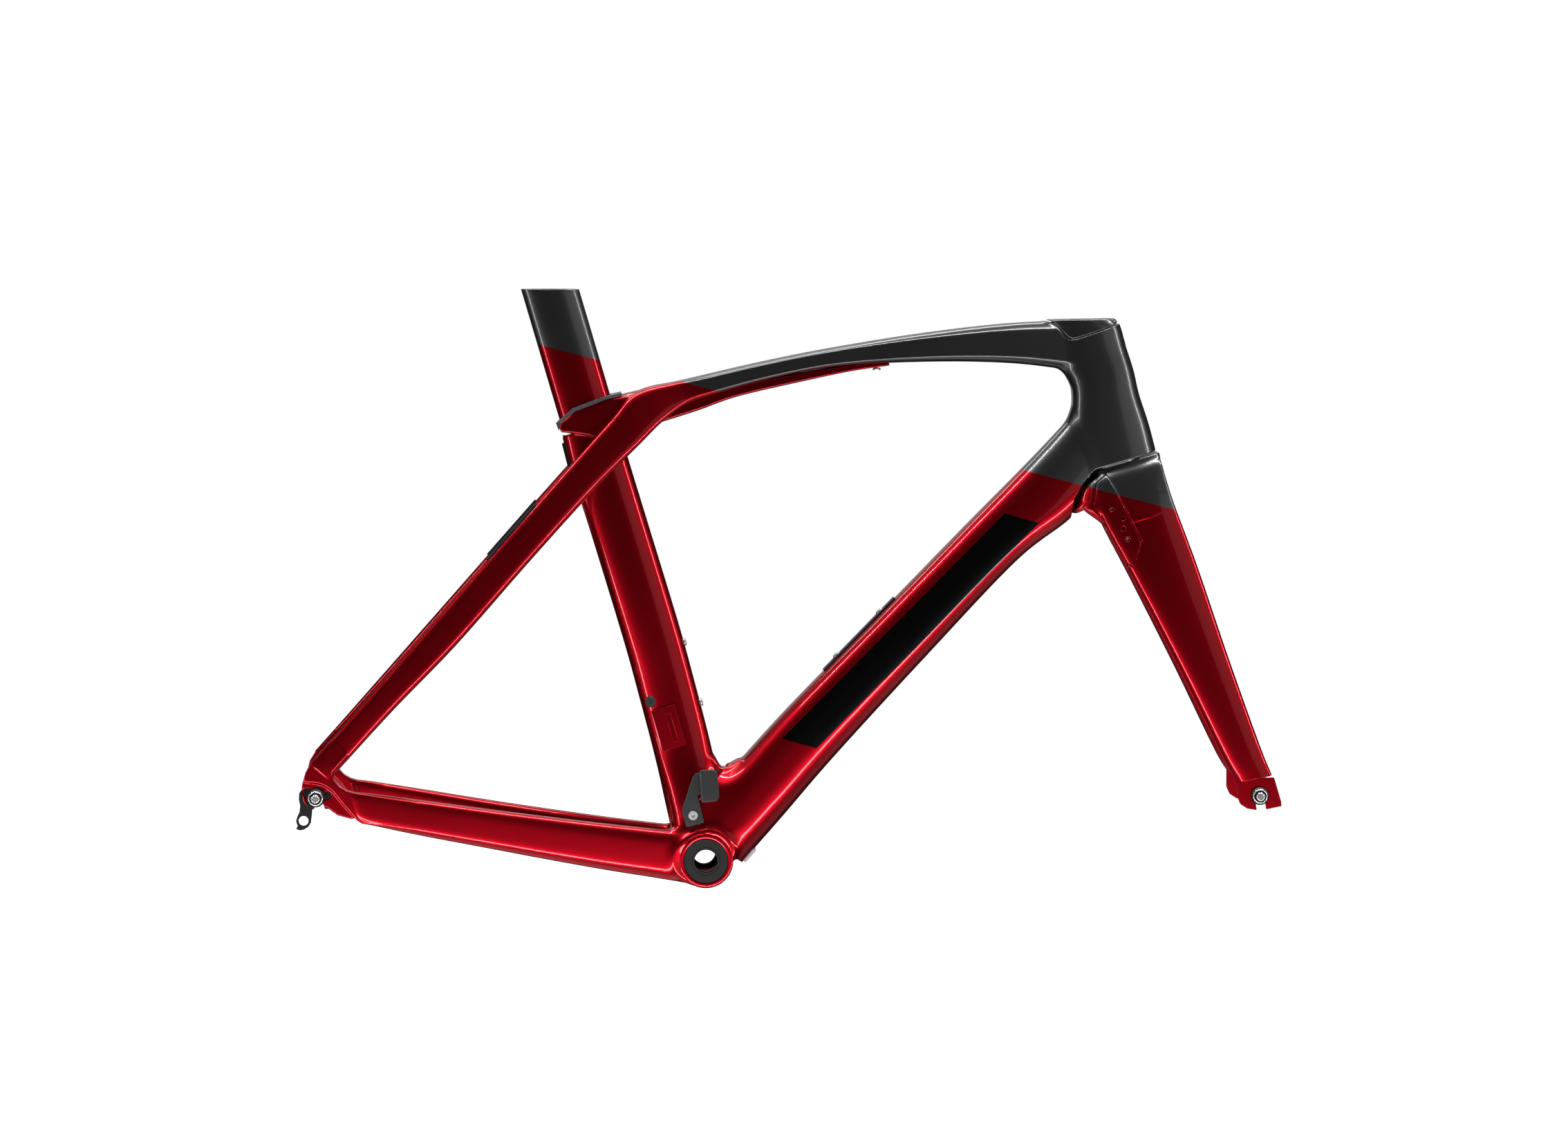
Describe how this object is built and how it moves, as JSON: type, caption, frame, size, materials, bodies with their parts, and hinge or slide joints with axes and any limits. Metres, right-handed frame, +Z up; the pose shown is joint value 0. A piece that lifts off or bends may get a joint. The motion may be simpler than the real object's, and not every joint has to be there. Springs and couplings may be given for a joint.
{
  "type": "bicycle frame",
  "caption": "Aero road bicycle frame and fork with a sprung seat mast, hollow shaped tubes, pressed bottom bracket bearings, headset, derailleur hanger and quick-release skewers.",
  "frame": {"origin": "centre of the bottom bracket, on its axis and on the middle plane of the frame", "axes": "+X forward to the fork, +Y to the rider's left along the bottom bracket axis, +Z up"},
  "size_m": [1.0239, 0.1714, 0.622],
  "materials": {
    "frame_red": "gloss",
    "frame_grey": "gloss",
    "cover_grey": "gloss",
    "grey_trim": "satin",
    "bare_carbon": "satin",
    "black_plastic": "satin",
    "pale_plastic": "satin",
    "rubber": "matte",
    "black_alloy": "satin",
    "alloy": "satin",
    "steel": "polished",
    "dark_steel": "satin"
  },
  "bodies": {
    "frame": {"head_tube": "frame_grey", "top_tube": "frame_grey", "down_tube": "frame_red", "seat_tube": "frame_red", "bb_shell": "frame_red", "seat_cluster": "frame_red", "chainstay_left": "frame_red", "chainstay_right": "frame_red", "seatstay_left": "frame_red", "seatstay_right": "frame_red", "rear_dropout_left": "frame_red", "rear_dropout_right": "frame_red", "derailleur_hanger": "black_alloy", "hanger_bolts": "steel", "flex_beam": "frame_red", "beam_bolt": "steel", "mast_collar": "grey_trim", "mast_pivot_axle": "steel", "rear_brake_plate": "black_plastic", "rear_cable_port": "black_plastic", "head_port_plug": "black_plastic", "top_cover": "cover_grey", "control_cover": "black_plastic", "bottle_bolts": "steel", "seat_tube_bottle_bolts": "steel", "derailleur_mount_insert": "frame_red", "rubber_plug": "rubber", "bb_port_cover": "pale_plastic", "chain_keeper_bolt": "steel", "bb_outer_races": "steel", "bb_seals": "rubber", "bb_balls": "steel", "upper_headset_bearing": "steel", "lower_headset_bearing": "steel", "rear_skewer": "steel", "rear_skewer_nut": "steel"},
    "fork": {"steerer": "bare_carbon", "fork_crown": "frame_grey", "fork_blade_left": "frame_red", "fork_blade_right": "frame_red", "front_dropout_left": "frame_red", "front_dropout_right": "frame_red", "brake_cover_left": "frame_red", "brake_cover_right": "frame_red", "brake_cover_screws": "steel", "crown_race": "steel", "compression_ring": "alloy", "front_skewer": "steel", "front_skewer_nut": "steel"},
    "mast": {"seat_mast": "frame_grey", "mast_pivot_tube": "alloy"},
    "bb_spindle_races": {"bb_inner_race_left": "dark_steel", "bb_inner_race_right": "dark_steel"},
    "slider": {"flex_slider": "black_plastic"},
    "keeper": {"chain_keeper": "black_alloy"},
    "front_lever": {"front_skewer_lever": "alloy"},
    "rear_lever": {"rear_skewer_lever": "alloy"}
  },
  "joints": [
    {"name": "steering", "type": "hinge", "parent": "frame", "child": "fork", "pos_m": [0.429, 0, 0.412], "axis": [-0.284, 0, 0.9588], "range_deg": [-50, 50]},
    {"name": "mast_flex", "type": "hinge", "parent": "frame", "child": "mast", "pos_m": [-0.124, 0, 0.4635], "axis": [0, -1, 0], "range_deg": [0, 2.5], "stiffness_Nm_per_rad": 80},
    {"name": "bb_spin", "type": "hinge", "parent": "frame", "child": "bb_spindle_races", "pos_m": [0, 0, 0], "axis": [0, 1, 0], "continuous": true},
    {"name": "slider_travel", "type": "slide", "parent": "frame", "child": "slider", "axis": [0.9748, 0, 0.2233], "range_m": [-0.022, 0.022]},
    {"name": "keeper_set", "type": "hinge", "parent": "frame", "child": "keeper", "pos_m": [-0.0134, -0.0388, 0.0476], "axis": [0, 1, 0], "range_deg": [-6, 8]},
    {"name": "front_lever_turn", "type": "hinge", "parent": "fork", "child": "front_lever", "pos_m": [0.576, 0.065, 0.069], "axis": [-0.9336, 0, -0.3584], "range_deg": [0, 170]},
    {"name": "rear_lever_turn", "type": "hinge", "parent": "frame", "child": "rear_lever", "pos_m": [-0.404, 0.08, 0.069], "axis": [-0.8572, 0, 0.515], "range_deg": [0, 170]}
  ]
}
